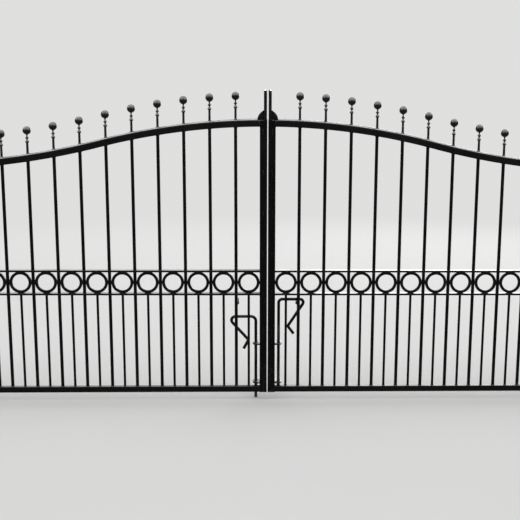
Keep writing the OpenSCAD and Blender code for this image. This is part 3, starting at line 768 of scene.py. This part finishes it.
def leaf_welds():
    """Weld runs where bars, rings, finials and stiles meet the rails."""
    runs = []
    for i, x in enumerate(BAR_X):
        slope = top_slope(x)
        stretch = np.sqrt(1 + slope**2)
        under = top_z(x) - RAIL_W / 2 * stretch
        over = top_z(x) + (RAIL_W / 2 + CAPPING_H) * stretch + 0.4
        runs += [
            bar_bead(x, BAR_W, BOTTOM_TOP, 0, BAR_WELD, i),
            bar_bead(x, BAR_W, LOW_FLAT - BELOW, 0, FLAT_WELD, i + 2),
            bar_bead(x, BAR_W, HIGH_FLAT - BELOW, 0, FLAT_WELD, i + 3),
            bar_bead(x, BAR_W, under, slope, RAIL_WELD, i + 4),
            bar_bead(x, STEM_W, over, slope, FINIAL_WELD, i, ripple=FINE_RIPPLE, count=36),
        ]
    beside = RING_R + RING_WALL / 2 + 0.6
    for i, x in enumerate(BAY_X):
        runs += [
            bar_bead(x, DOG_W, BOTTOM_TOP, 0, FLAT_WELD, i),
            bar_bead(x, DOG_W, LOW_FLAT - BELOW, 0, DOG_FLAT_WELD, i + 1),
            tack(x, LOW_FLAT + FLAT_T + WELD_INSET, RING_TACK, i),
            tack(x, HIGH_FLAT - WELD_INSET, RING_TACK, i + 1),
            tack(x - beside, BAND_Z, SIDE_TACK, i - 1),
            tack(x + beside, BAND_Z, SIDE_TACK, i + 1),
        ]
    for x in (STILE_OUT, HANG_IN):
        for depth, height, z in (
            (BOTTOM_W, BOTTOM_TOP - GROUND_CLEARANCE, (GROUND_CLEARANCE + BOTTOM_TOP) / 2),
            (FLAT_DEPTH, FLAT_T, LOW_FLAT + FLAT_T / 2),
            (FLAT_DEPTH, FLAT_T, HIGH_FLAT + FLAT_T / 2),
            (RAIL_W, RAIL_W, top_z(x)),
        ):
            ring = spread(closed(72, 0.9) * (depth / 2, height / 2), Y, Z) + (x, 0, z)
            ring[:, 1] = np.clip(ring[:, 1], WELD_INSET - STILE_W / 2, STILE_W / 2 - WELD_INSET)
            runs.append(bead(ring, FLAT_WELD, 4.5, z))
    strip_side = STILE_IN + STRIP_W, -STILE_W / 2 - 0.4
    for z in np.arange(140.0, 1450.0, 210.0):
        runs.append(run_bead((*strip_side, z), (0, 0, 34.0), 26, 2.0, RUN_RIPPLE, z))
    for y, phase in ((-UPRIGHT_W / 2, 1), (UPRIGHT_W / 2, 2)):
        foot = UPRIGHT_OUT - 3, y, STILE_TOP
        runs.append(run_bead(foot, (24.0, 0, 0), 30, 1.8, RUN_RIPPLE, phase))
    middle = UPRIGHT_IN + UPRIGHT_W / 2
    runs.append(bar_bead(middle, UPRIGHT_W - 0.5, STILE_TOP, 0, 1.6, 0.3, 0.86))
    for z in GUIDES:
        for dz in (0, GUIDE_T):
            start = STILE_OUT + 0.2, -5.0, z + dz
            runs.append(run_bead(start, (0, 23.0, 0), 24, 1.5, FINE_RIPPLE, z))
    for dz, phase in ((-21.2, 1), (-12.8, 2)):
        start = BAR_X[0] - BAR_W / 2 + 0.2, -4.5, ARM_Z + BOLT_LIFT + dz
        runs.append(run_bead(start, (0, 9.0, 0), 14, 2.2, FINE_RIPPLE, phase))
    for z in HINGES:
        for y in (-EYE_R / 2, EYE_R / 2):
            start = HANG_OUT + 0.3, y, z - EYE_H / 2 + 2
            runs.append(run_bead(start, (0, 0, EYE_H - 4), 40, 2.2, RUN_RIPPLE, z))
    return joined(runs)


def post_welds():
    """Weld runs round the post's foot, under its cap and round the hinge plates and lugs."""
    square = closed(200, 0.97)
    round_post = spread(square, X, Y) * POST_W / 2 + (POST_MID, 0, 0)
    half_plate = PLATE_DEPTH / 2 - 1, PLATE_H / 2 - 1
    round_plate = spread(square * half_plate, Y, Z) + (POST_IN - 0.6, 0, -LUG_T / 2)
    runs = [
        bead(round_post + (0, 0, FOOT_T), 3.2, POST_RIPPLE, 0.2),
        bead(round_post + (0, 0, POST_TOP), 1.8, POST_RIPPLE, 1.2),
    ]
    for z in HINGES:
        seat = z - EYE_H / 2 - EYE_GAP
        runs.append(bead(round_plate + (0, 0, seat), 2.4, 4.6, z))
        for dz in (0, -LUG_T):
            start = POST_IN - PLATE_T - 0.2, -9, seat + dz
            runs.append(run_bead(start, (0, 18.0, 0), 24, 2.0, RUN_RIPPLE, z))
    return joined(runs)


def dress(side, hand):
    """Make every piece of one side of the pair. The side is 1 for the right and -1 for its mirror,
    whose bolt is lowered where the right one is raised."""
    leaf, bolt = f"{hand}_leaf", f"{hand}_bolt"

    def add(name, body, slot, paint, node, solid, wear_and_highlight=None):
        """One piece, which stands for the solids' node of that name if it has one."""
        nodes = [f"{hand}_{node}"] if node else ()
        made(f"{hand}_{name}", solid, side, body, paint, nodes, wear_and_highlight)

    add("full_bar_row", leaf, "gate_paint", upright_enamel, "full_bars", full_bars())
    add("dog_bar_row", leaf, "gate_paint", upright_enamel, "dog_bars", dog_bars())
    add("ring_row", leaf, "gate_paint", rail_enamel, "rings", rings())
    add("bell_rail", leaf, "gate_paint", rail_enamel, "top_rail", top_rail())
    add("rail_capping", leaf, "gate_paint", capping_enamel, None, rail_capping())
    add("flat_rails", leaf, "gate_paint", rail_enamel, "band_rails", band_rails())
    add("foot_rail", leaf, "gate_paint", rail_enamel, "bottom_rail", foot_rail())
    meeting, hanging = (STILE_IN + STILE_OUT) / 2, (HANG_IN + HANG_OUT) / 2
    closing_stile, hinge_stile = stile(meeting, STILE_TOP), stile(hanging, HANG_TOP)
    add("closing_stile", leaf, "gate_paint", upright_enamel, "meeting_stile", closing_stile)
    add("hinge_stile", leaf, "gate_paint", upright_enamel, "hanging_stile", hinge_stile)
    add("front_strip", leaf, "gate_paint", upright_enamel, "cover_strip", front_strip())
    add("round_shoulder", leaf, "gate_paint", rail_enamel, "shoulder", shoulder())
    add("ball_finials", leaf, "finial_paint", ball_enamel, "finials", finials())
    add("bent_hook", leaf, "fitting_paint", fitting_enamel, "handle_hook", handle_hook())
    add("hinge_barrels", leaf, "fitting_paint", fitting_enamel, "hinge_eyes", hinge_eyes())
    add("leaf_welds", leaf, "gate_paint", weld_enamel, None, leaf_welds())
    add("top_upright", leaf, "gate_paint", knob_enamel, "upright", *top_upright())
    add("guide_plates", leaf, "fitting_paint", guide_enamel, "bolt_guides", *bolt_guides())
    lift, bend = (0.0, LOWERED_BEND) if side < 0 else (BOLT_LIFT, RAISED_BEND)
    add("bent_bolt", bolt, "bolt_paint", bolt_enamel, "drop_bolt", *drop_bolt(lift, *bend))
    add("square_post", "posts", "post_paint", post_enamel, "post", square_post())
    add("pyramid_cap", "posts", "post_paint", post_enamel, "post_cap", post_cap())
    add("foot_plate", "posts", "post_paint", post_enamel, "base_plate", base_plate())
    brackets = hinge_brackets()
    add("hinge_pins", "posts", "fitting_paint", fitting_enamel, "hinge_brackets", brackets)
    add("anchor_nuts", "posts", "fitting_paint", fitting_enamel, None, anchors())
    add("post_welds", "posts", "post_paint", weld_enamel, None, post_welds())


dress(-1, "left")
dress(1, "right")


# From here on sizes are in metres. The floor fades into the backdrop's tone away from the gate.
PALE, FLOOR = (0.74, 0.74, 0.735), (0.70, 0.70, 0.695)
SKY, FADE_FROM, FADE_TO, FLOOR_REACH = 0.80, 3.0, 9.0, 30
MID = GATE_MID / MM_PER_M
FLOOR_LINES = 13
line = np.linspace(-FLOOR_REACH, FLOOR_REACH, FLOOR_LINES)
gx, gy = np.meshgrid(line + MID, line)
cell = np.arange(FLOOR_LINES - 1)
first = (cell[:, None] * FLOOR_LINES + cell).reshape(-1, 1)
cells = first + np.array([0, 1, FLOOR_LINES + 1, FLOOR_LINES])
floor_mesh = bpy.data.meshes.new("floor")
points = np.stack([gx, gy, 0 * gx], -1).reshape(-1, 3)
floor_mesh.from_pydata(points.tolist(), [], cells.tolist())
floor = bpy.data.objects.new("floor", floor_mesh)
bpy.context.scene.collection.objects.link(floor)
f = Paint("pale_floor")
spot = f.add("ShaderNodeMapping", Vector=f.place["Object"], Location=(-MID, 0, 0)).outputs[0]
away = f.add("ShaderNodeVectorMath", {"operation": "LENGTH"}, i0=spot).outputs["Value"]
matt = f.add("ShaderNodeBsdfDiffuse", Color=(*FLOOR, 1)).outputs[0]
glow = f.add("ShaderNodeEmission", Color=(*PALE, 1), Strength=1.0).outputs[0]
mixed = f.add("ShaderNodeMixShader", i0=f.between(away, FADE_FROM, FADE_TO), i1=matt, i2=glow)
f.add("ShaderNodeOutputMaterial", Surface=mixed.outputs[0])
floor_mesh.materials.append(f.material)

# Even sky for the light, and the backdrop's tone for what the camera and the paint's gloss see
world = bpy.data.worlds.new("studio")
bpy.context.scene.world = world
w = Nodes(world)
ray = w.add("ShaderNodeLightPath").outputs
seen = w.math("MAXIMUM", ray["Is Camera Ray"], ray["Is Glossy Ray"])
sky = w.add("ShaderNodeBackground", Color=(1.0, 1.0, 1.0, 1), Strength=SKY).outputs[0]
drop = w.add("ShaderNodeBackground", Color=(*PALE, 1), Strength=1.0).outputs[0]
pick = w.add("ShaderNodeMixShader", i0=seen, i1=sky, i2=drop)
w.add("ShaderNodeOutputWorld", Surface=pick.outputs[0])


def soft_box(name, place, aim, wide, tall, glow, gloss_only=False):
    """Rectangular lamp turned to face its aim; its power gives the named brightness all over its
    face. One for gloss only shows in the paint's shine and adds nothing to the light on the
    floor."""
    lamp = bpy.data.lights.new(name, "AREA")
    lamp.shape = "RECTANGLE"
    lamp.size, lamp.size_y = wide, tall
    lamp.energy = glow * np.pi * wide * tall
    holder = bpy.data.objects.new(name, lamp)
    bpy.context.scene.collection.objects.link(holder)
    back = unit(np.array(place, float) - np.array(aim, float))
    right = unit(np.cross(Z, back))
    turn = np.stack([right, np.cross(back, right), back], 1)
    holder.matrix_world = Matrix.Translation(place) @ Matrix(turn.tolist()).to_4x4()
    holder.visible_camera = False
    holder.visible_diffuse = not gloss_only


LEFT, RIGHT = MID - 3.2, MID + 3.2
soft_box("overhead_box", (MID, -0.6, 5.6), (MID, -0.2, 0.5), 7.0, 3.4, 1.1)
soft_box("overhead_sheen", (MID, -1.0, 5.7), (MID, -0.9, 1.0), 24.0, 8.0, 13.0, True)
soft_box("street_sheen", (MID, -7.0, 4.8), (MID, 0, 1.5), 24.0, 4.2, 4.0, True)
soft_box("rear_box_left", (MID - 3.4, 7.0, 3.0), (MID, 0, 0.9), 6.0, 3.6, 0.8)
soft_box("rear_box_right", (MID + 3.4, 7.0, 3.0), (MID, 0, 0.9), 6.0, 3.6, 1.9)
soft_box("low_sheen_left", (LEFT, 6.6, 2.0), (LEFT, 0, 0.6), 6.2, 2.2, 0.9, True)
soft_box("low_sheen_right", (RIGHT, 6.6, 2.0), (RIGHT, 0, 0.6), 6.2, 2.2, 3.4, True)

# Camera fitted to the photograph: the bars, the rails and the horizon set its place and its lens
EYE = np.array([1.8344, -4.5053, 1.5420])
DIP, SWING, TILT = np.radians([9.901, 1.800, 0.369])
LENS, SENSOR, SHIFT = 60.48, 36.0, -0.0497
ahead = np.array([np.sin(SWING) * np.cos(DIP), np.cos(SWING) * np.cos(DIP), -np.sin(DIP)])
right = np.array([np.cos(SWING), -np.sin(SWING), 0])
over = np.cross(right, ahead)
right, over = (
    np.cos(TILT) * right + np.sin(TILT) * over,
    np.cos(TILT) * over - np.sin(TILT) * right,
)
turn = Matrix(np.stack([right, over, -ahead], 1).tolist()).to_4x4()
camera = bpy.data.cameras.new("camera")
camera.sensor_width, camera.lens, camera.shift_x = SENSOR, LENS, SHIFT
viewer = bpy.data.objects.new("camera", camera)
bpy.context.scene.collection.objects.link(viewer)
viewer.matrix_world = Matrix.Translation(EYE) @ turn
bpy.context.scene.camera = viewer
bpy.context.scene.view_settings.view_transform = "Standard"
